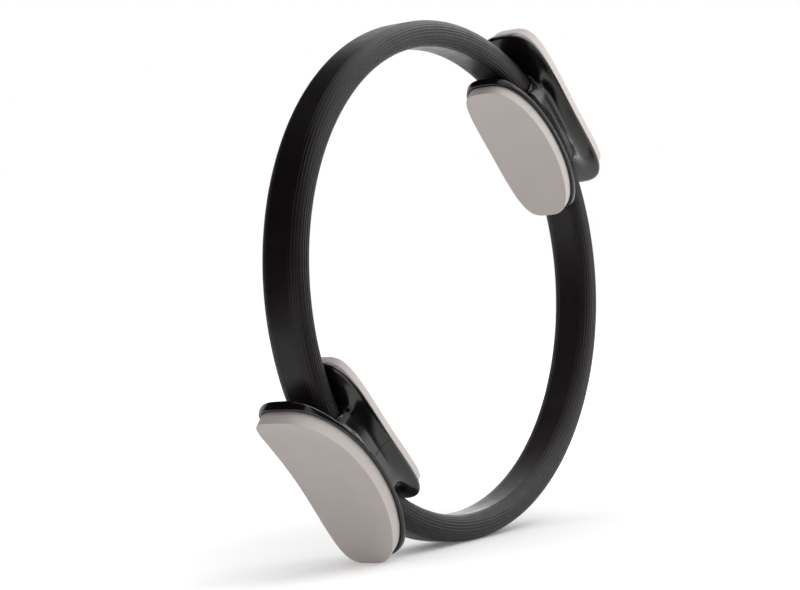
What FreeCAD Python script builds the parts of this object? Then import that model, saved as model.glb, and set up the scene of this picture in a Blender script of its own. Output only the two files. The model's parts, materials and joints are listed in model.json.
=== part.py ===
import FreeCAD, Part
import math
import os

# Pilates ring: a springy hoop in a rubber sleeve, with two clamp-on handles and four grip pads.
# Lengths are millimetres. The ring stands on the floor, its axis is along Y and Z is up.

# Hoop
ring_radius = 180.0  # to the middle of the band
sleeve_width = 33.4
sleeve_thickness = 19.4
sleeve_corner_radius = 8.5
core_width = 24.0
core_thickness = 5.0
core_corner_radius = 1.0
core_clearance = 0.2  # all round the core, in the sleeve and in the handles

# Handle waist, where the two shells close round the band
throat_half_length = 37.0  # from the handle's middle to where the band comes out
throat_round_radius = 8.0
sleeve_insert_depth = 4.0
sleeve_clearance = 0.3
waist_half_width = 21.0
parting_drop = 3.5  # the shells' parting plane lies this far inside the band's mid-line

# Outer grip, hollowed away from the ring
outer_pad_length = 140.0
outer_pad_width = 67.2
outer_pad_end_radius = 29.0
outer_pad_thickness = 10.4
outer_pad_bend_radius = 171.0
outer_shell_floor = 3.0  # between the core and the pad
outer_cove_radius = 5.0
outer_wing_thickness = 6.0  # at the tip, under the pad

# Inner grip, hollowed towards the ring's middle
inner_pad_length = 125.0
inner_pad_width = 57.6
inner_pad_end_radius = 24.5
inner_pad_thickness = 8.4
inner_pad_bend_radius = 214.0
inner_shell_depth = 19.3  # between the core and the pad
inner_cove_radius = 9.0
inner_wing_thickness = 5.0

# Both grips
pad_edge_radius = 1.0
flange_thickness = 4.5
rim_width = 2.8
rim_height = 1.2
pad_gap = 0.3

# Clamp screws and their threaded inserts
screw_radius = 2.0
screw_head_radius = 3.6
screw_head_height = 2.4
screw_head_depth = 3.0  # below the tray that the outer pad lies in
screw_socket_width = 2.5  # across the flats
screw_socket_depth = 1.3
screw_spacing_along = 40.0
screw_spacing_across = 13.0
screw_clearance = 0.2
insert_radius = 3.0
insert_length = 8.0
insert_drop = 1.5  # from the core's inner face to the insert
thread_clearance = 0.05
boss_radius = 5.2
shell_wall = 3.0
screw_tip_clearance = 1.0

# All cuts run past what they cut by this much
overrun = 5.0

core_half = core_thickness / 2
band_outer_radius = ring_radius + sleeve_thickness / 2
diagonal_share = math.sqrt(0.5)


def vector(x, y, z):
    return FreeCAD.Vector(x, y, z)


def along(length):
    return vector(length, 0, 0)


def across(length):
    return vector(0, length, 0)


def upward(length):
    return vector(0, 0, length)


origin = vector(0, 0, 0)
ring_axis = across(ring_radius)


def line(start, end):
    return Part.LineSegment(start, end).toShape()


def arc(start, middle, end):
    return Part.Arc(start, middle, end).toShape()


def degrees_along_band(length):
    return math.degrees(length / ring_radius)


throat_angle = degrees_along_band(throat_half_length)
sleeve_start_angle = degrees_along_band(throat_half_length - sleeve_insert_depth)


class Grip:
    # One pad with its half of the handle, built over the band's mid-line with the pad upwards.

    def __init__(self, length, width, end_radius, pad_thickness, bend_radius, seat, cove, wing, parting):
        self.length = length
        self.width = width
        self.end_radius = end_radius
        self.bend_radius = bend_radius
        self.cove = cove
        self.parting = parting
        self.axis_height = seat + pad_thickness + bend_radius
        self.tray_radius = bend_radius + pad_thickness
        self.rim_radius = self.tray_radius - rim_height
        self.flange_radius = self.tray_radius + flange_thickness
        self.half_length = length / 2 + rim_width
        self.half_width = width / 2 + rim_width
        self.wing_height = self.height_at(self.half_length, self.tray_radius) - wing

    def height_at(self, along, radius):
        return self.axis_height - math.sqrt(radius ** 2 - along ** 2)

    def bend_cylinder(self, radius):
        start = vector(0, -self.width, self.axis_height)
        return Part.makeCylinder(radius, 2 * self.width, start, ring_axis)

    def oval_prism(self, growth):
        # Two end arcs and two flatter side arcs that meet them smoothly.
        end_radius = self.end_radius + growth
        half_length = self.length / 2 + growth
        half_width = self.width / 2 + growth
        end_centre = half_length - end_radius
        side_radius = (end_centre ** 2 + half_width ** 2 - end_radius ** 2) / (2 * (half_width - end_radius))
        reach = side_radius / (side_radius - end_radius)
        meet_x = end_centre * reach
        meet_y = (side_radius - half_width) * (reach - 1)
        low = self.parting - overrun
        corners = [vector(meet_x, meet_y, low), vector(-meet_x, meet_y, low)]
        corners += [vector(-meet_x, -meet_y, low), vector(meet_x, -meet_y, low)]
        middles = [vector(0, half_width, low), vector(-half_length, 0, low)]
        middles += [vector(0, -half_width, low), vector(half_length, 0, low)]
        edges = []
        for index, middle in enumerate(middles):
            edges.append(arc(corners[index], middle, corners[(index + 1) % len(corners)]))
        face = Part.Face(Part.Wire(edges))
        return face.extrude(upward(self.axis_height - low))

    def waist_sweep(self):
        # The flange and the cove down to the waist, swept parallel to the pad's hollow.
        out = self.half_width + overrun
        rim = self.axis_height - self.rim_radius
        under = self.axis_height - self.flange_radius
        low_radius = math.hypot(self.axis_height - self.parting, self.half_length)
        low = self.axis_height - low_radius
        cove_y = waist_half_width + self.cove
        cove_z = under - self.cove
        bend_y = cove_y - self.cove * diagonal_share
        bend_z = cove_z + self.cove * diagonal_share
        half = [vector(0, out, rim), vector(0, out, under), vector(0, cove_y, under)]
        half += [vector(0, bend_y, bend_z), vector(0, waist_half_width, cove_z), vector(0, waist_half_width, low)]
        other = [vector(0, -point.y, point.z) for point in half]
        edges = [line(half[0], half[1]), line(half[1], half[2]), arc(half[2], half[3], half[4])]
        edges += [line(half[4], half[5]), line(half[5], other[5]), line(other[5], other[4])]
        edges += [arc(other[4], other[3], other[2]), line(other[2], other[1])]
        edges += [line(other[1], other[0]), line(other[0], half[0])]
        face = Part.Face(Part.Wire(edges))
        centre = vector(0, 0, self.axis_height)
        turn = math.degrees(math.asin((self.half_length + overrun) / self.rim_radius))
        face.rotate(centre, ring_axis, -turn)
        return face.revolve(centre, ring_axis, 2 * turn)

    def side_profile(self):
        # Seen along the ring's axis: flat where the shells meet, then a rounded throat and a ramp to each tip.
        round_x = throat_half_length + throat_round_radius
        tip_x = self.half_length
        rise = self.wing_height - self.parting
        reach = math.hypot(tip_x - round_x, rise)
        slope = math.atan2(rise, tip_x - round_x) - math.asin(throat_round_radius / reach)
        half_turn = (math.pi / 2 + slope + math.pi) / 2
        end_turn = math.pi / 2 + slope
        start = vector(throat_half_length, 0, self.parting)
        round_centre = vector(round_x, 0, self.parting)
        middle = round_centre + vector(math.cos(half_turn), 0, math.sin(half_turn)) * throat_round_radius
        end = round_centre + vector(math.cos(end_turn), 0, math.sin(end_turn)) * throat_round_radius
        out_x = tip_x + overrun
        out = vector(out_x, 0, self.wing_height + overrun * math.tan(slope))
        top = vector(out_x, 0, self.axis_height)
        right = [start, middle, end, out, top]
        left = [vector(-point.x, 0, point.z) for point in right]
        edges = [arc(right[0], right[1], right[2]), line(right[2], right[3]), line(right[3], right[4])]
        edges += [line(right[4], left[4]), line(left[4], left[3]), line(left[3], left[2])]
        edges += [arc(left[2], left[1], left[0]), line(left[0], right[0])]
        face = Part.Face(Part.Wire(edges))
        face.translate(across(-self.width))
        return face.extrude(across(2 * self.width))

    def shell_blank(self):
        blank = self.oval_prism(rim_width).common(self.waist_sweep()).common(self.side_profile())
        tray = self.oval_prism(pad_gap).common(self.bend_cylinder(self.tray_radius))
        return blank.cut(tray)

    def pad(self):
        layer = self.bend_cylinder(self.tray_radius).cut(self.bend_cylinder(self.bend_radius))
        block = self.oval_prism(0).common(layer)
        edges = [edge for edge in block.Edges if self.on_face(edge)]
        return block.makeFillet(pad_edge_radius, edges)

    def on_face(self, edge):
        # True for the edges round the pad's hollowed face.
        points = edge.discretize(3)
        far = [math.hypot(point.x, point.z - self.axis_height) - self.bend_radius for point in points]
        return max(abs(gap) for gap in far) < pad_edge_radius / 2

    def face_end_round(self):
        # Centre of the rounded edge at the pad's end, in the ring's middle plane.
        along = self.length / 2 - pad_edge_radius
        return along, self.height_at(along, self.bend_radius + pad_edge_radius)


outer_grip = Grip(
    outer_pad_length,
    outer_pad_width,
    outer_pad_end_radius,
    outer_pad_thickness,
    outer_pad_bend_radius,
    core_half + outer_shell_floor,
    outer_cove_radius,
    outer_wing_thickness,
    -parting_drop,
)
inner_grip = Grip(
    inner_pad_length,
    inner_pad_width,
    inner_pad_end_radius,
    inner_pad_thickness,
    inner_pad_bend_radius,
    core_half + inner_shell_depth,
    inner_cove_radius,
    inner_wing_thickness,
    parting_drop,
)

# The ring rests on its band and on the end of the lower handle's outer pad.
rest_along, rest_height = outer_grip.face_end_round()
rest_reach = math.hypot(rest_along, ring_radius + rest_height)
rest_turn = math.atan2(rest_along, ring_radius + rest_height)
stand_angle = math.degrees(rest_turn + math.acos((band_outer_radius - pad_edge_radius) / rest_reach))


def band_section(width, thickness, corner_radius):
    # Rounded rectangle across the band, at the top of the hoop.
    half_width = width / 2
    half_thickness = thickness / 2
    flat_y = half_width - corner_radius
    flat_z = half_thickness - corner_radius
    bend_y = flat_y + corner_radius * diagonal_share
    bend_z = flat_z + corner_radius * diagonal_share
    corner = [(flat_y, half_thickness), (bend_y, bend_z), (half_width, flat_z)]
    turns = [corner]
    turns.append([(y, -z) for y, z in reversed(corner)])
    turns.append([(-y, -z) for y, z in corner])
    turns.append([(-y, z) for y, z in reversed(corner)])
    edges = []
    for index, turn in enumerate(turns):
        points = [vector(0, y, ring_radius + z) for y, z in turn]
        next_y, next_z = turns[(index + 1) % len(turns)][0]
        edges.append(arc(points[0], points[1], points[2]))
        edges.append(line(points[2], vector(0, next_y, ring_radius + next_z)))
    return Part.Face(Part.Wire(edges))


def sweep_round(section, start_angle, end_angle):
    section = section.copy()
    section.rotate(origin, ring_axis, start_angle)
    return section.revolve(origin, ring_axis, end_angle - start_angle)


def core_section(growth):
    return band_section(core_width + 2 * growth, core_thickness + 2 * growth, core_corner_radius + growth)


def sleeve_section(growth):
    return band_section(sleeve_width + 2 * growth, sleeve_thickness + 2 * growth, sleeve_corner_radius + growth)


def sleeve_arc(start_angle, end_angle):
    return sweep_round(sleeve_section(0).cut(core_section(core_clearance)), start_angle, end_angle)


def core_arc(start_angle, end_angle):
    return sweep_round(core_section(0), start_angle, end_angle)


def upright_cylinder(radius, place, low, high):
    x, y = place
    return Part.makeCylinder(radius, high - low, vector(x, y, low), upward(high - low))


def screw_places():
    x = screw_spacing_along / 2
    y = screw_spacing_across / 2
    return [(x, y), (-x, y), (-x, -y), (x, -y)]


def band_sag(along):
    # How far the band's mid-line falls away from its top at this distance along the handle.
    return ring_radius - math.sqrt(ring_radius ** 2 - along ** 2)


screw_sag = band_sag(screw_spacing_along / 2)
screw_tray = ring_radius + outer_grip.height_at(screw_spacing_along / 2, outer_grip.tray_radius)
screw_seat = screw_tray - screw_head_depth
insert_top = ring_radius - screw_sag - core_half - insert_drop
insert_low = insert_top - insert_length
screw_tip = insert_low
tip_hole_low = screw_tip - screw_tip_clearance
inner_floor = ring_radius - core_half - inner_shell_depth + shell_wall


def screw(place):
    x, y = place
    head_top = screw_seat + screw_head_height
    head = upright_cylinder(screw_head_radius, place, screw_seat, head_top)
    shank = upright_cylinder(screw_radius, place, screw_tip, screw_seat)
    corner_reach = screw_socket_width / math.sqrt(3)
    corners = []
    for step in range(7):
        turn = math.pi * step / 3
        corner_x = x + corner_reach * math.cos(turn)
        corner_y = y + corner_reach * math.sin(turn)
        corners.append(vector(corner_x, corner_y, head_top - screw_socket_depth))
    socket = Part.Face(Part.makePolygon(corners)).extrude(upward(screw_socket_depth + overrun))
    return head.fuse(shank).removeSplitter().cut(socket)


def threaded_insert(place):
    body = upright_cylinder(insert_radius, place, insert_low, insert_top)
    bore = upright_cylinder(screw_radius + thread_clearance, place, insert_low - overrun, insert_top + overrun)
    return body.cut(bore)


def band_slots():
    # Room for the core through the handle and for the sleeve's ends in its throats.
    slot_start = sleeve_start_angle - degrees_along_band(sleeve_clearance)
    slot_end = degrees_along_band(outer_pad_length)
    sleeve_room = sleeve_section(sleeve_clearance)
    core_room = sweep_round(core_section(core_clearance), -throat_angle, throat_angle)
    right_room = sweep_round(sleeve_room, slot_start, slot_end)
    left_room = sweep_round(sleeve_room, -slot_end, -slot_start)
    return [core_room, right_room, left_room]


def outer_shell():
    shell = outer_grip.shell_blank()
    shell.translate(upward(ring_radius))
    cuts = band_slots()
    for place in screw_places():
        cuts.append(upright_cylinder(screw_radius + screw_clearance, place, screw_tip, screw_tray))
        cuts.append(upright_cylinder(screw_head_radius + screw_clearance, place, screw_seat, screw_tray + overrun))
    return shell.cut(cuts)


def inner_shell():
    shell = inner_grip.shell_blank()
    shell.rotate(origin, along(ring_radius), 180)
    shell.translate(upward(ring_radius))
    half_length = throat_half_length - sleeve_insert_depth - shell_wall
    half_width = waist_half_width - shell_wall
    depth = ring_radius - inner_floor
    corner = vector(-half_length, -half_width, inner_floor)
    cavity = Part.makeBox(2 * half_length, 2 * half_width, depth, corner)
    bosses = [upright_cylinder(boss_radius, place, inner_floor, ring_radius) for place in screw_places()]
    cuts = [cavity.cut(bosses)] + band_slots()
    for place in screw_places():
        cuts.append(upright_cylinder(insert_radius + thread_clearance, place, insert_low, ring_radius))
        cuts.append(upright_cylinder(screw_radius + screw_clearance, place, tip_hole_low, ring_radius))
    return shell.cut(cuts)


def outer_pad():
    pad = outer_grip.pad()
    pad.translate(upward(ring_radius))
    return pad


def inner_pad():
    pad = inner_grip.pad()
    pad.rotate(origin, along(ring_radius), 180)
    pad.translate(upward(ring_radius))
    return pad


def clamped_core():
    strip = core_arc(-throat_angle, throat_angle)
    holes = []
    for place in screw_places():
        holes.append(upright_cylinder(screw_radius + screw_clearance, place, screw_tip, screw_seat))
    return strip.cut(holes)


handle_pieces = {
    "outer_shell": outer_shell(),
    "inner_shell": inner_shell(),
    "outer_pad": outer_pad(),
    "inner_pad": inner_pad(),
    "clamped_core": clamped_core(),
    "clamp_screws": Part.Compound([screw(place) for place in screw_places()]),
    "screw_inserts": Part.Compound([threaded_insert(place) for place in screw_places()]),
}

# The four arcs of the band, by the shares of a turn between which each runs from the upper handle,
# clockwise seen from the front.
band_arc_shares = {
    "right": (0, 0.25),
    "bottom": (0.25, 0.5),
    "left": (0.5, 0.75),
    "top": (0.75, 1),
}


def arc_ends(start, end, inset):
    # An arc starts or ends inside a handle at each half turn.
    first = start + inset if start % 180 == 0 else start
    last = end - inset if end % 180 == 0 else end
    return first, last


def stand(shape, turn):
    # Turn a shape that is built about the ring's axis, and set the ring on the floor.
    placed = shape.copy()
    placed.rotate(origin, ring_axis, turn)
    placed.translate(upward(band_outer_radius))
    return placed


def pieces():
    made = {}
    for name, shape in handle_pieces.items():
        made["upper_" + name] = stand(shape, stand_angle)
        made["lower_" + name] = stand(shape, stand_angle + 180)
    for name, shares in band_arc_shares.items():
        start, end = [360 * share for share in shares]
        sleeve_ends = arc_ends(start, end, sleeve_start_angle)
        core_ends = arc_ends(start, end, throat_angle)
        made["sleeve_" + name] = stand(sleeve_arc(*sleeve_ends), stand_angle)
        made["core_" + name] = stand(core_arc(*core_ends), stand_angle)
    return made


os.makedirs("parts", exist_ok=True)
for name, shape in pieces().items():
    shape.exportStep("parts/" + name + ".step")
    print(name, "solids", len(shape.Solids), "volume", round(shape.Volume), "valid", shape.isValid())
print("lower handle stands", round(stand_angle, 3), "degrees from straight down")
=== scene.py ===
import json
import math
import bmesh
import bpy
from mathutils import Matrix, Vector


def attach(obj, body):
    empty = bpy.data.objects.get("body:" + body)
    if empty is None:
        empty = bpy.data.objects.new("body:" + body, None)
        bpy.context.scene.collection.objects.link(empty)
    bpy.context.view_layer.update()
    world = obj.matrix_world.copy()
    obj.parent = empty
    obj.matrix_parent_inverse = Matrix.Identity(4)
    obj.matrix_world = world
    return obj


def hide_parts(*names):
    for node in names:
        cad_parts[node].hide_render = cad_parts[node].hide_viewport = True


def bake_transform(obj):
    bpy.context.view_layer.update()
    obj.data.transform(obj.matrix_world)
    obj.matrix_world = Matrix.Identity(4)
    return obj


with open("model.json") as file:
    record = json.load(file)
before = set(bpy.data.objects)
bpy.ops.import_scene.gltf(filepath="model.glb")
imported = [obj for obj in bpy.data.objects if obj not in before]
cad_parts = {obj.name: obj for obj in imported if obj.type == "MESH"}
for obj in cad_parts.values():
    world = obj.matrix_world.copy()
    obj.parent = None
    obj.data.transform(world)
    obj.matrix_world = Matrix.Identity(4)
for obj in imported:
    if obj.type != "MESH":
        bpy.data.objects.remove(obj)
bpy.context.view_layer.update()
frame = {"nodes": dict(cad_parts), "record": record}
print("frame loaded")

# lengths in metres, the ring's axis along Y, the upper handle up and to the right
ring = {"radius": 0.180, "centreHeight": 0.1897, "standAngle": 49.363}
# angles round the hoop in degrees, from the upper handle's middle
lowerMiddle, fullTurn = 180, 360
handleTurns = {"upper": ring["standAngle"], "lower": ring["standAngle"] + lowerMiddle}


def ringPlace(turn):
    # turns what is modelled at the top of the hoop round to its place
    lift = Matrix.Translation((0, 0, ring["centreHeight"]))
    return lift @ Matrix.Rotation(math.radians(turn), 4, "Y")


def meshOf(name, bm):
    bmesh.ops.recalc_face_normals(bm, faces=bm.faces)
    mesh = bpy.data.meshes.new(name)
    bm.to_mesh(mesh)
    bm.free()
    mesh.shade_smooth()
    return mesh


def linked(name, data):
    item = bpy.data.objects.new(name, data)
    bpy.context.scene.collection.objects.link(item)
    return item


def pieceOf(name, mesh, material):
    mesh.materials.clear()
    mesh.materials.append(material)
    piece = linked(name, mesh)
    return piece


def newMaterial(name):
    material = bpy.data.materials.new(name)
    material.use_nodes = True
    nodes = material.node_tree.nodes
    return material, nodes, material.node_tree.links, nodes["Principled BSDF"]


def noiseOf(nodes, links, scale, detail, stretch=(1, 1, 1)):
    place = nodes.new("ShaderNodeTexCoord")
    mapping = nodes.new("ShaderNodeMapping")
    mapping.inputs["Scale"].default_value = stretch
    noise = nodes.new("ShaderNodeTexNoise")
    noise.inputs["Scale"].default_value = scale
    noise.inputs["Detail"].default_value = detail
    links.new(place.outputs["Object"], mapping.inputs["Vector"])
    links.new(mapping.outputs["Vector"], noise.inputs["Vector"])
    return noise


# the part of the noise's values that is spread from one end of a range to the other
noiseSpan = {"low": 0.3, "high": 0.7}


def tint(nodes, links, noise, dark, light, socket):
    ramp = nodes.new("ShaderNodeValToRGB")
    ramp.color_ramp.elements[0].position = noiseSpan["low"]
    ramp.color_ramp.elements[1].position = noiseSpan["high"]
    ramp.color_ramp.elements[0].color = dark
    ramp.color_ramp.elements[1].color = light
    links.new(noise.outputs["Fac"], ramp.inputs["Fac"])
    links.new(ramp.outputs["Color"], socket)


def spread(nodes, links, noise, low, high, socket):
    span = nodes.new("ShaderNodeMapRange")
    span.inputs["From Min"].default_value = noiseSpan["low"]
    span.inputs["From Max"].default_value = noiseSpan["high"]
    span.inputs["To Min"].default_value = low
    span.inputs["To Max"].default_value = high
    links.new(noise.outputs["Fac"], span.inputs["Value"])
    links.new(span.outputs["Result"], socket)


def grain(nodes, links, noise, strength, depth, socket):
    bump = nodes.new("ShaderNodeBump")
    bump.inputs["Strength"].default_value = strength
    bump.inputs["Distance"].default_value = depth
    links.new(noise.outputs["Fac"], bump.inputs["Height"])
    links.new(bump.outputs["Normal"], socket)


def finishOf(name, look):
    # colour, roughness and bump each follow a noise of their own, given as scale and detail
    material, nodes, links, shader = newMaterial(name)
    shader.inputs["Specular IOR Level"].default_value = look["specular"]
    shader.inputs["Metallic"].default_value = look["metallic"]
    tone = noiseOf(nodes, links, *look["toneNoise"])
    tint(nodes, links, tone, look["dark"], look["light"], shader.inputs["Base Color"])
    wear = noiseOf(nodes, links, *look["wearNoise"])
    spread(nodes, links, wear, *look["roughness"], shader.inputs["Roughness"])
    fine = noiseOf(nodes, links, *look["grainNoise"], look["grainStretch"])
    grain(nodes, links, fine, look["grain"], look["grainDepth"], shader.inputs["Normal"])
    return material


rubber = {
    "dark": (0.0095, 0.0074, 0.0071, 1), "light": (0.0125, 0.0100, 0.0097, 1),
    "specular": 0.22, "metallic": 0, "toneNoise": (60, 4), "wearNoise": (140, 3), "roughness": (0.32, 0.42),
    "grainNoise": (2600, 3), "grainStretch": (1, 1, 1), "grain": 0.05, "grainDepth": 0.0001,
}
shellPlastic = {
    "dark": (0.0040, 0.0032, 0.0032, 1), "light": (0.0056, 0.0046, 0.0046, 1),
    "specular": 0.55, "metallic": 0, "toneNoise": (45, 3), "wearNoise": (90, 4), "roughness": (0.16, 0.23),
    "grainNoise": (1500, 2), "grainStretch": (1, 1, 1), "grain": 0.06, "grainDepth": 0.0001,
}
padFoam = {
    "dark": (0.592, 0.538, 0.519, 1), "light": (0.617, 0.563, 0.544, 1),
    "specular": 0.25, "metallic": 0, "toneNoise": (35, 5), "wearNoise": (120, 3), "roughness": (0.62, 0.8),
    "grainNoise": (3200, 4), "grainStretch": (1, 1, 1), "grain": 0.2, "grainDepth": 0.0001,
}
fibreglass = {
    "dark": (0.42, 0.36, 0.22, 1), "light": (0.56, 0.5, 0.34, 1),
    "specular": 0.5, "metallic": 0, "toneNoise": (90, 5), "wearNoise": (200, 3), "roughness": (0.35, 0.5),
    "grainNoise": (900, 2), "grainStretch": (1, 6, 1), "grain": 0.3, "grainDepth": 0.0002,
}
screwSteel = {
    "dark": (0.5, 0.5, 0.52, 1), "light": (0.62, 0.62, 0.63, 1),
    "specular": 0.5, "metallic": 1, "toneNoise": (250, 3), "wearNoise": (800, 3), "roughness": (0.25, 0.4),
    "grainNoise": (2500, 2), "grainStretch": (1, 1, 5), "grain": 0.15, "grainDepth": 0.0001,
}
insertBrass = {
    "dark": (0.62, 0.44, 0.17, 1), "light": (0.74, 0.55, 0.25, 1),
    "specular": 0.5, "metallic": 1, "toneNoise": (250, 3), "wearNoise": (800, 3), "roughness": (0.2, 0.35),
    "grainNoise": (2500, 2), "grainStretch": (1, 1, 5), "grain": 0.15, "grainDepth": 0.0001,
}
finishes = {
    "sleeve_rubber": finishOf("sleeveRubber", rubber),
    "shell_plastic": finishOf("shellPlastic", shellPlastic),
    "pad_foam": finishOf("padFoam", padFoam),
    "core_fibreglass": finishOf("coreFibreglass", fibreglass),
    "screw_steel": finishOf("screwSteel", screwSteel),
    "insert_brass": finishOf("insertBrass", insertBrass),
}
for part in frame["record"]["subparts"]:
    node = frame["nodes"][part["node"]]
    node.data.materials.clear()
    node.data.materials.append(finishes[part["material_slot"]])
print("finishes made")

sleeve = {
    "halfWidth": 0.0167, "halfThickness": 0.0097, "corner": 0.0085, "segments": 320,
    "ribPitch": 0.0023, "ribsPerHalf": 6, "grooveDepth": 0.00032, "grooveWidth": 0.0004,
    "boreWidth": 0.0122, "boreThickness": 0.0027, "boreCorner": 0.0012, "boreSegments": 32,
    "stepAngle": 1.5,
}


def barPoint(share, halfWidth, halfThickness, corner):
    # point on a rounded bar at a share of its way round, from the middle of one edge
    edge, bend, face = halfThickness - corner, corner * math.pi / 2, halfWidth - corner
    quarter = edge + bend + face
    way = share * 4 * quarter
    number = int(way // quarter) % 4
    run = way - (way // quarter) * quarter
    if number % 2:
        run = quarter - run
    if run < edge:
        y, z, outY, outZ = halfWidth, run, 1, 0
    elif run < edge + bend:
        turn = (run - edge) / corner
        outY, outZ = math.cos(turn), math.sin(turn)
        y, z = face + corner * outY, edge + corner * outZ
    else:
        y, z, outY, outZ = face - (run - edge - bend), halfThickness, 0, 1
    signY = 1 if number in (0, 3) else -1
    signZ = 1 if number in (0, 1) else -1
    return Vector((0, signY * y, signZ * z)), Vector((0, signY * outY, signZ * outZ)), run


def grooveAt(run):
    # moulded grooves along the rounded edges, the two faces stay smooth
    depth = 0
    for rib in range(sleeve["ribsPerHalf"]):
        gap = (run - (rib + 0.5) * sleeve["ribPitch"]) / sleeve["grooveWidth"]
        depth += sleeve["grooveDepth"] * math.exp(-gap * gap)
    return depth


def barLoop(bm, segments, halfWidth, halfThickness, corner, grooved):
    loop = bmesh.ops.create_circle(bm, segments=segments, radius=halfWidth)["verts"]
    for index, vert in enumerate(loop):
        place, out, run = barPoint(index / segments, halfWidth, halfThickness, corner)
        vert.co = place - out * (grooveAt(run) if grooved else 0)
    return loop


def makeSleeve(name, start, end):
    bm = bmesh.new()
    skinSize = (sleeve["halfWidth"], sleeve["halfThickness"], sleeve["corner"])
    boreSize = (sleeve["boreWidth"], sleeve["boreThickness"], sleeve["boreCorner"])
    skin = barLoop(bm, sleeve["segments"], *skinSize, True)
    bore = barLoop(bm, sleeve["boreSegments"], *boreSize, False)
    place = ringPlace(ring["standAngle"] + start) @ Matrix.Translation((0, 0, ring["radius"]))
    bmesh.ops.transform(bm, matrix=place, verts=skin + bore)
    firstEdges = list(bm.edges)
    steps = round((end - start) / sleeve["stepAngle"])
    centre = (0, 0, ring["centreHeight"])
    spun = bmesh.ops.spin(bm, geom=list(bm.verts) + firstEdges, cent=centre, axis=(0, 1, 0),
                          angle=math.radians(end - start), steps=steps, use_duplicate=False)
    lastEdges = [item for item in spun["geom_last"] if isinstance(item, bmesh.types.BMEdge)]
    for edges in (firstEdges, lastEdges):
        bmesh.ops.triangle_fill(bm, edges=edges, use_beauty=True)
        for edge in edges:
            edge.smooth = False
    return pieceOf(name, meshOf(name, bm), finishes["sleeve_rubber"])


throat = {"angle": 11.777, "sleeveStart": 10.504, "bend": 4.5, "longBend": 19}
sleeveCuts = {"right": 45, "bottom": 135, "left": 225, "top": 315}
sideHinges = {"right": 90, "left": 270}
sleeveRuns = [
    # name, from, to, bodies that it joins, hinge angle, half of the bend's angle
    ("sleeveBottomLower", sleeveCuts["bottom"], lowerMiddle - throat["sleeveStart"],
     "bottom_arc", "lower_handle", lowerMiddle - throat["angle"], throat["bend"]),
    ("sleeveRightBottom", sleeveCuts["right"], sleeveCuts["bottom"],
     "right_arc", "bottom_arc", sideHinges["right"], throat["longBend"]),
    ("sleeveRightUpper", throat["sleeveStart"], sleeveCuts["right"],
     "upper_handle", "right_arc", throat["angle"], throat["bend"]),
    ("sleeveLeftLower", lowerMiddle + throat["sleeveStart"], sleeveCuts["left"],
     "lower_handle", "left_arc", lowerMiddle + throat["angle"], throat["bend"]),
    ("sleeveLeftTop", sleeveCuts["left"], sleeveCuts["top"],
     "left_arc", "top_arc", sideHinges["left"], throat["longBend"]),
]
for name, start, end, bodyA, bodyB, hinge, bend in sleeveRuns:
    piece = makeSleeve(name, start, end)
    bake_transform(piece)
topEnd = makeSleeve("sleeveTopUpper", sleeveCuts["top"], fullTurn - throat["sleeveStart"])
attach(topEnd, "top_arc")
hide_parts("sleeve_bottom")
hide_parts("sleeve_right")
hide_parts("sleeve_left")
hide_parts("sleeve_top")
print("sleeve spun")

outerGrip = {
    "halfLength": 0.0703, "halfWidth": 0.0339, "endPower": 2.12, "sidePower": 3.4,
    "seat": 0.0055, "thickness": 0.0104, "bend": 0.171, "parting": -0.0035,
    "sideWall": 0.1, "sideEnd": 1.0, "tipWall": 0.24, "tipEnd": 0.62, "tipBulge": 0.0012,
    "cove": 2.8,
}
innerGrip = {
    "halfLength": 0.0624, "halfWidth": 0.0288, "endPower": 2.2, "sidePower": 3.3,
    "seat": 0.0218, "thickness": 0.0084, "bend": 0.214, "parting": 0.0035,
    "sideWall": 0.07, "sideEnd": 0.75, "tipWall": 0.14, "tipEnd": 0.62, "tipBulge": 0.0015,
    "cove": 2.6,
}
rim = {
    "gap": 0.0003, "width": 0.0028, "height": 0.0008, "outerRound": 0.0014, "outerRoundSteps": 5,
    "round": 0.0004, "roundShare": 0.3,
}
waist = {"halfLength": 0.0385, "halfWidth": 0.0265, "power": 5, "tipPower": 4, "spare": 0.004}
outline = {"segments": 192, "sideSteps": 26, "trayShares": (0.05, 0.35, 0.7, 0.95), "spareShares": (1.5, 2)}


def ovalPoint(grip, turn, growth):
    # point on the pad's outline, moved outwards by growth
    cosine, sine = math.cos(turn), math.sin(turn)
    x = math.copysign(abs(cosine) ** (2 / grip["endPower"]), cosine)
    y = math.copysign(abs(sine) ** (2 / grip["sidePower"]), sine)
    outX = math.copysign(abs(x) ** (grip["endPower"] - 1), x) * grip["endPower"] / grip["halfLength"]
    outY = math.copysign(abs(y) ** (grip["sidePower"] - 1), y) * grip["sidePower"] / grip["halfWidth"]
    reach = math.hypot(outX, outY)
    return x * grip["halfLength"] + growth * outX / reach, y * grip["halfWidth"] + growth * outY / reach


def hollowHeight(grip, along, level):
    # height of the bent tray at this distance along the handle, level above its floor
    radius = grip["bend"] + grip["thickness"] - level
    return grip["seat"] + grip["thickness"] + grip["bend"] - math.sqrt(radius * radius - along * along)


def ovalStation(grip, growth, level, share=1):
    def place(turn):
        x, y = ovalPoint(grip, turn, growth)
        return Vector((x * share, y * share, hollowHeight(grip, x * share, level)))
    return place


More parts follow.
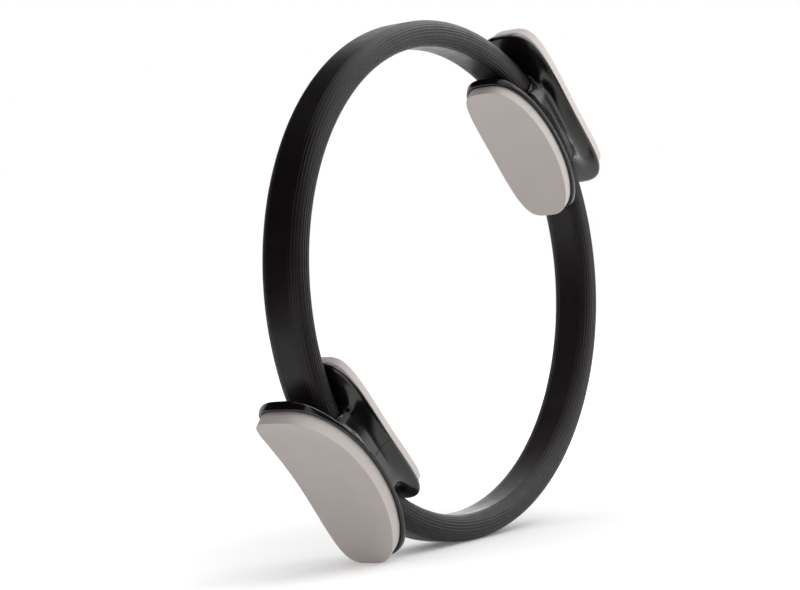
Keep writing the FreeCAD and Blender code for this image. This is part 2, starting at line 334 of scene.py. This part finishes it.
def raiseLoops(bm, stations, segments):
    # a capped loop, extruded from one station to the next
    loop = bmesh.ops.create_circle(bm, cap_ends=True, segments=segments, radius=1)["verts"]
    turns = [2 * math.pi * index / segments for index in range(segments)]
    for vert, turn in zip(loop, turns):
        vert.co = stations[0](turn)
    order = {vert: turn for vert, turn in zip(loop, turns)}
    edges = [edge for edge in bm.edges if edge.verts[0] in order and edge.verts[1] in order]
    for station in stations[1:]:
        made = bmesh.ops.extrude_edge_only(bm, edges=edges)["geom"]
        fresh = [item for item in made if isinstance(item, bmesh.types.BMVert)]
        edges = [item for item in made if isinstance(item, bmesh.types.BMEdge)]
        nextOrder = {}
        for vert in fresh:
            for edge in vert.link_edges:
                other = edge.other_vert(vert)
                if other in order:
                    nextOrder[vert] = order[other]
        for vert, turn in nextOrder.items():
            vert.co = station(turn)
        order = nextOrder
    bmesh.ops.edgeloop_fill(bm, edges=edges)


padShape = {
    "edge": 0.0005, "edgeSteps": 4, "draft": 0.0006, "foot": 0.0004,
    "footShares": (0.1, 0.6), "wallShare": 0.3, "draftShare": 0.6,
    "faceShares": (0.97, 0.9, 0.8, 0.65, 0.5, 0.35, 0.2, 0.08),
}


def padMesh(grip, name):
    height = grip["thickness"]
    edge, draft, foot = padShape["edge"], padShape["draft"], padShape["foot"]
    stations = [ovalStation(grip, 0, 0, share) for share in padShape["footShares"]]
    stations += [ovalStation(grip, -foot, 0), ovalStation(grip, 0, foot)]
    stations.append(ovalStation(grip, 0, height * padShape["wallShare"]))
    stations.append(ovalStation(grip, -draft / 2, height * padShape["draftShare"]))
    for step in range(padShape["edgeSteps"] + 1):
        turn = math.pi / 2 * step / padShape["edgeSteps"]
        inset, drop = edge * (1 - math.cos(turn)), edge * (1 - math.sin(turn))
        stations.append(ovalStation(grip, -draft - inset, height - drop))
    stations += [ovalStation(grip, -draft - edge, height, share) for share in padShape["faceShares"]]
    bm = bmesh.new()
    raiseLoops(bm, stations, outline["segments"])
    return meshOf(name, bm)


def sideStation(grip, share):
    # the moulded side, from the rim's outer edge in a smooth bend to the waist where the shells meet
    def place(turn):
        cosine, sine = math.cos(turn), math.sin(turn)
        tip = abs(cosine) ** waist["tipPower"]
        stop = grip["sideEnd"] + (grip["tipEnd"] - grip["sideEnd"]) * tip
        wall = grip["sideWall"] + (grip["tipWall"] - grip["sideWall"]) * tip
        swell = grip["tipBulge"] * tip
        x, y = ovalPoint(grip, turn, rim["width"])
        top = hollowHeight(grip, x, rim["height"] - rim["outerRound"])
        waistX = waist["halfLength"] * math.copysign(abs(cosine) ** (2 / waist["power"]), cosine)
        waistY = waist["halfWidth"] * math.copysign(abs(sine) ** (2 / waist["power"]), sine)
        bulge = swell * math.sin(math.pi * min(1, share / (2 * wall)))
        x, y = ovalPoint(grip, turn, rim["width"] + bulge)
        bend = min(1, max(0, share - wall) / (stop - wall))
        flared = 1 - (1 - bend) ** grip["cove"]
        inward = flared + (bend * bend * (3 - 2 * bend) - flared) * tip
        height = top + (grip["parting"] - top) * min(1, share) - waist["spare"] * max(0, share - 1)
        return Vector((x + (waistX - x) * inward, y + (waistY - y) * inward, height))
    return place


def shellBlank(grip):
    small, large, bevel = rim["round"], rim["outerRound"], rim["round"] * rim["roundShare"]
    stations = [ovalStation(grip, rim["gap"], 0, share) for share in outline["trayShares"]]
    stations += [ovalStation(grip, rim["gap"], 0), ovalStation(grip, rim["gap"], rim["height"] - small)]
    stations.append(ovalStation(grip, rim["gap"] + bevel, rim["height"] - bevel))
    stations.append(ovalStation(grip, rim["gap"] + small, rim["height"]))
    for step in range(rim["outerRoundSteps"] + 1):
        turn = math.pi / 2 * step / rim["outerRoundSteps"]
        growth = rim["width"] - large * (1 - math.sin(turn))
        stations.append(ovalStation(grip, growth, rim["height"] - large * (1 - math.cos(turn))))
    stations += [sideStation(grip, (step + 1) / outline["sideSteps"]) for step in range(outline["sideSteps"])]
    stations += [sideStation(grip, share) for share in outline["spareShares"]]
    bm = bmesh.new()
    raiseLoops(bm, stations, outline["segments"])
    return meshOf("shellBlank", bm)


bandSlot = {
    "clearance": 0.0003, "endGap": 0.1, "reach": 24, "segments": 64, "leastSteps": 4,
    "coreGap": 0.0002, "coreHalfWidth": 0.012, "coreHalfThickness": 0.0025, "coreCorner": 0.001,
}


def slotCutter(start, end, halfWidth, halfThickness, corner):
    bm = bmesh.new()
    loop = barLoop(bm, bandSlot["segments"], halfWidth, halfThickness, corner, False)
    firstEdges = list(bm.edges)
    place = Matrix.Rotation(math.radians(start), 4, "Y") @ Matrix.Translation((0, 0, ring["radius"]))
    bmesh.ops.transform(bm, matrix=place, verts=loop)
    steps = max(bandSlot["leastSteps"], round(end - start))
    spun = bmesh.ops.spin(bm, geom=list(bm.verts) + firstEdges, cent=(0, 0, 0), axis=(0, 1, 0),
                          angle=math.radians(end - start), steps=steps, use_duplicate=False)
    lastEdges = [item for item in spun["geom_last"] if isinstance(item, bmesh.types.BMEdge)]
    bmesh.ops.edgeloop_fill(bm, edges=firstEdges)
    bmesh.ops.edgeloop_fill(bm, edges=lastEdges)
    bmesh.ops.translate(bm, verts=bm.verts, vec=(0, 0, -ring["radius"]))
    return meshOf("slotCutter", bm)


collar = {"start": 9.5, "end": 12.45, "wall": 0.0017, "steps": 4, "segments": 96}


def collarMesh(sign):
    # lip round the band where it runs out of the handle
    bm = bmesh.new()
    gap = bandSlot["clearance"]
    for growth in (gap, collar["wall"]):
        size = (sleeve["halfWidth"] + growth, sleeve["halfThickness"] + growth, sleeve["corner"] + growth)
        barLoop(bm, collar["segments"], *size, False)
    turn = Matrix.Rotation(math.radians(sign * collar["start"]), 4, "Y")
    bmesh.ops.transform(bm, matrix=turn @ Matrix.Translation((0, 0, ring["radius"])), verts=bm.verts)
    firstEdges = list(bm.edges)
    sweep = math.radians(sign * (collar["end"] - collar["start"]))
    spun = bmesh.ops.spin(bm, geom=list(bm.verts) + firstEdges, cent=(0, 0, 0), axis=(0, 1, 0),
                          angle=sweep, steps=collar["steps"], use_duplicate=False)
    lastEdges = [item for item in spun["geom_last"] if isinstance(item, bmesh.types.BMEdge)]
    for edges in (firstEdges, lastEdges):
        bmesh.ops.triangle_fill(bm, edges=edges, use_beauty=True)
    bmesh.ops.translate(bm, verts=bm.verts, vec=(0, 0, -ring["radius"]))
    return meshOf("collar", bm)


seam = {"halfWidth": 0.00028, "depth": 0.0003, "tolerance": 0.000001}


def pressSeam(bm):
    # a fine moulded groove round the middle of the inner shell
    for offset in (-seam["halfWidth"], 0, seam["halfWidth"]):
        parts = list(bm.verts) + list(bm.edges) + list(bm.faces)
        bmesh.ops.bisect_plane(bm, geom=parts, dist=seam["tolerance"],
                               plane_co=(offset, 0, 0), plane_no=(1, 0, 0))
    bm.normal_update()
    sunk = [vert for vert in bm.verts if abs(vert.co.x) < seam["halfWidth"]]
    moves = [vert.normal * seam["depth"] * (1 - abs(vert.co.x) / seam["halfWidth"]) for vert in sunk]
    for vert, move in zip(sunk, moves):
        vert.co -= move


def cutAtParting(mesh, upper, name):
    # the two shells meet in one flat plane
    bm = bmesh.new()
    bm.from_mesh(mesh)
    parts = list(bm.verts) + list(bm.edges) + list(bm.faces)
    bmesh.ops.bisect_plane(bm, geom=parts, plane_co=(0, 0, outerGrip["parting"]), plane_no=(0, 0, 1),
                           clear_inner=upper, clear_outer=not upper)
    border = [edge for edge in bm.edges if edge.is_boundary]
    bmesh.ops.triangle_fill(bm, edges=border, use_beauty=True)
    for edge in border:
        edge.smooth = False
    if not upper:
        pressSeam(bm)
    return meshOf(name, bm)


def combine(piece, mesh, operation):
    tool = linked("tool", mesh)
    modifier = piece.modifiers.new("combine", "BOOLEAN")
    modifier.operation = operation
    modifier.solver = "EXACT"
    modifier.object = tool
    return tool


def finishedMesh(piece):
    ready = piece.evaluated_get(bpy.context.evaluated_depsgraph_get())
    return bpy.data.meshes.new_from_object(ready)


softening = {"voxel": 0.0007, "smoothing": 5, "factor": 0.5}
flipOver = Matrix.Rotation(math.pi, 4, "X")


def shellMesh(grip, flip, name):
    blank = shellBlank(grip)
    if flip:
        blank.transform(flipOver)
    form = linked(name + "Form", blank)
    gap = bandSlot["clearance"]
    low, high = throat["sleeveStart"] - bandSlot["endGap"], bandSlot["reach"]
    size = (sleeve["halfWidth"] + gap, sleeve["halfThickness"] + gap, sleeve["corner"] + gap)
    coreWidth = bandSlot["coreHalfWidth"] + bandSlot["coreGap"]
    coreThickness = bandSlot["coreHalfThickness"] + bandSlot["coreGap"]
    coreSize = (coreWidth, coreThickness, bandSlot["coreCorner"])
    tools = [combine(form, slotCutter(low, high, *size), "DIFFERENCE")]
    tools.append(combine(form, slotCutter(-high, -low, *size), "DIFFERENCE"))
    tools.append(combine(form, slotCutter(-throat["angle"], throat["angle"], *coreSize), "DIFFERENCE"))
    bm = bmesh.new()
    bm.from_mesh(finishedMesh(form))
    for sign in (1, -1):
        bm.from_mesh(collarMesh(sign))
    bm.to_mesh(blank)
    bm.free()
    form.modifiers.clear()
    remesh = form.modifiers.new("even", "REMESH")
    remesh.mode = "VOXEL"
    remesh.voxel_size = softening["voxel"]
    smooth = form.modifiers.new("soften", "SMOOTH")
    smooth.factor = softening["factor"]
    smooth.iterations = softening["smoothing"]
    mesh = cutAtParting(finishedMesh(form), not flip, name)
    for item in tools + [form]:
        bpy.data.objects.remove(item)
    print(name, len(mesh.polygons), "faces")
    return mesh


padForms = {"outer": padMesh(outerGrip, "outerPad"), "inner": padMesh(innerGrip, "innerPad")}
padForms["inner"].transform(flipOver)
shellForms = {
    "outer": shellMesh(outerGrip, False, "outerShell"),
    "inner": shellMesh(innerGrip, True, "innerShell"),
}
for side, turn in handleTurns.items():
    place = ringPlace(turn) @ Matrix.Translation((0, 0, ring["radius"]))
    for kind in ("outer", "inner"):
        padForm = padForms[kind].copy()
        padForm.transform(place)
        pad = pieceOf(side + kind.capitalize() + "Pad", padForm, finishes["pad_foam"])
        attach(pad, side + "_handle")
        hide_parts(side + "_" + kind + "_pad")
        shellForm = shellForms[kind].copy()
        shellForm.transform(place)
        shellName = side + kind.capitalize() + "Shell"
        shell = pieceOf(shellName, shellForm, finishes["shell_plastic"])
        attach(shell, side + "_handle")
        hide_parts(side + "_" + kind + "_shell")
print("handles made")

floorBoard = {
    "size": 6.0, "colour": (0.82, 0.82, 0.82, 1), "centre": (0.09, 0.045, 0),
    "nearGlow": 0.12, "farGlow": 0.66, "near": 0.1, "far": 0.5,
}


def seenRay(nodes, links):
    # one for what the camera sees straight or by reflection, nothing for light on the ring
    path = nodes.new("ShaderNodeLightPath")
    seen = nodes.new("ShaderNodeMath")
    seen.operation = "MAXIMUM"
    links.new(path.outputs["Is Camera Ray"], seen.inputs[0])
    links.new(path.outputs["Is Glossy Ray"], seen.inputs[1])
    through = nodes.new("ShaderNodeMath")
    through.operation = "MAXIMUM"
    links.new(seen.outputs[0], through.inputs[0])
    links.new(path.outputs["Is Transmission Ray"], through.inputs[1])
    return through.outputs[0]


def matteMaterial(name, colour):
    material, nodes, links, shader = newMaterial(name)
    shader.inputs["Base Color"].default_value = colour
    shader.inputs["Roughness"].default_value = 1
    shader.inputs["Specular IOR Level"].default_value = 0
    return material, nodes, links, shader


def stageBoard(name, size, place, material):
    # a square board of the stage, not of the ring
    bm = bmesh.new()
    bmesh.ops.create_grid(bm, x_segments=1, y_segments=1, size=size)
    bmesh.ops.transform(bm, matrix=place, verts=bm.verts)
    mesh = bpy.data.meshes.new(name)
    bm.to_mesh(mesh)
    bm.free()
    mesh.materials.append(material)
    board = linked(name, mesh)
    return board


def makeFloor():
    material, nodes, links, shader = matteMaterial("floorWhite", floorBoard["colour"])
    place = nodes.new("ShaderNodeTexCoord")
    far = nodes.new("ShaderNodeVectorMath")
    far.operation = "DISTANCE"
    far.inputs[1].default_value = floorBoard["centre"]
    links.new(place.outputs["Object"], far.inputs[0])
    fade = nodes.new("ShaderNodeMapRange")
    fade.interpolation_type = "SMOOTHSTEP"
    fade.inputs["From Min"].default_value = floorBoard["near"]
    fade.inputs["From Max"].default_value = floorBoard["far"]
    fade.inputs["To Min"].default_value = floorBoard["nearGlow"]
    fade.inputs["To Max"].default_value = floorBoard["farGlow"]
    links.new(far.outputs["Value"], fade.inputs["Value"])
    glow = nodes.new("ShaderNodeMath")
    glow.operation = "MULTIPLY"
    links.new(seenRay(nodes, links), glow.inputs[0])
    links.new(fade.outputs["Result"], glow.inputs[1])
    shader.inputs["Emission Color"].default_value = (1, 1, 1, 1)
    links.new(glow.outputs[0], shader.inputs["Emission Strength"])
    stageBoard("floor", floorBoard["size"], Matrix(), material)


makeFloor()

studio = {
    "ambient": 0.64, "aim": (0, 0, 0.2),
    "lamps": [
        # place, size across, size up, power
        ((0.95, -0.5, 1.5), 2.0, 2.0, 25),
        ((0.2, -1.6, 0.8), 0.9, 0.7, 3),
        ((1.25, -0.95, 0.26), 0.2, 0.34, 1.6),
        ((1.6, 1.1, 0.55), 1.0, 0.5, 4),
    ],
    "cards": [
        # place, half size, whether it also shades
        ((-0.6, 0.5, 0.5), 0.55, False),
        ((0.1, 0.9, 1.2), 0.5, False),
        ((1.45, -1.1, -0.1), 0.42, False),
        ((-0.08, -0.22, 0.17), 0.17, False),
        ((-0.34, 0.0, 0.38), 0.2, True),
    ],
    "cardColour": (0.01, 0.01, 0.01, 1),
}


def lightStudio():
    world = bpy.data.worlds.new("studio")
    bpy.context.scene.world = world
    world.use_nodes = True
    nodes = world.node_tree.nodes
    links = world.node_tree.links
    background = nodes["Background"]
    background.inputs["Color"].default_value = (1, 1, 1, 1)
    strength = nodes.new("ShaderNodeMapRange")
    strength.inputs["To Min"].default_value = studio["ambient"]
    strength.inputs["To Max"].default_value = 1
    links.new(seenRay(nodes, links), strength.inputs["Value"])
    links.new(strength.outputs["Result"], background.inputs["Strength"])
    for place, across, up, power in studio["lamps"]:
        lamp = bpy.data.lights.new("softBox", "AREA")
        lamp.shape = "RECTANGLE"
        lamp.size = across
        lamp.size_y = up
        lamp.energy = power
        box = linked("softBox", lamp)
        box.location = place
        box.visible_camera = False
        aim = Vector(studio["aim"]) - box.location
        box.rotation_euler = aim.to_track_quat("-Z", "Y").to_euler()


lightStudio()


def hangCards():
    # dark cards beside the ring, so that the gloss has something dark to show, and one that shades
    material = matteMaterial("darkCard", studio["cardColour"])[0]
    for place, size, shades in studio["cards"]:
        aim = Vector(studio["aim"]) - Vector(place)
        turn = aim.to_track_quat("Z", "Y").to_matrix().to_4x4()
        card = stageBoard("darkCard", size, Matrix.Translation(place) @ turn, material)
        card.visible_camera = False
        card.visible_shadow = shades
        card.visible_diffuse = shades


hangCards()

viewPoint = {
    "place": (-1.25084, -0.89349, 0.18985), "turn": (89.7003, 4.5444, -53.248),
    "lens": 94.512, "sensor": 36,
}


def setCamera():
    lens = bpy.data.cameras.new("camera")
    lens.sensor_width = viewPoint["sensor"]
    lens.lens = viewPoint["lens"]
    camera = linked("camera", lens)
    camera.location = viewPoint["place"]
    camera.rotation_euler = [math.radians(turn) for turn in viewPoint["turn"]]
    bpy.context.scene.camera = camera


setCamera()
bpy.context.scene.view_settings.view_transform = "Standard"
print("stage set")
